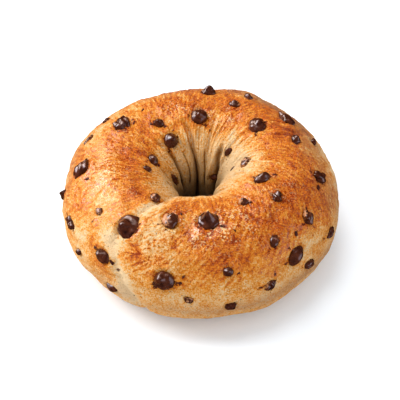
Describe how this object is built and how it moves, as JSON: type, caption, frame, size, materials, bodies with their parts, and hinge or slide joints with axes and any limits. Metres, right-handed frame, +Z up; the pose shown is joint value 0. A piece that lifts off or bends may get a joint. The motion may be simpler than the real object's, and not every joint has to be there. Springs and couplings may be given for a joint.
{
  "type": "chocolate chip bagel",
  "caption": "Baked ring of dough with a small round hole, browned on top, with chocolate chips set in its crust.",
  "frame": {"origin": "middle of the bounding box, at the flat underside", "axes": "+Z up through the hole, +X to the right and +Y to the back as the picture sees it"},
  "size_m": [0.1086, 0.1109, 0.0439],
  "materials": {
    "crust": "baked crust, lightly glossy on top and dull on the pale sides",
    "chocolate": "set dark chocolate, satin"
  },
  "bodies": {
    "root": {"bagel": "crust"}
  },
  "joints": []
}
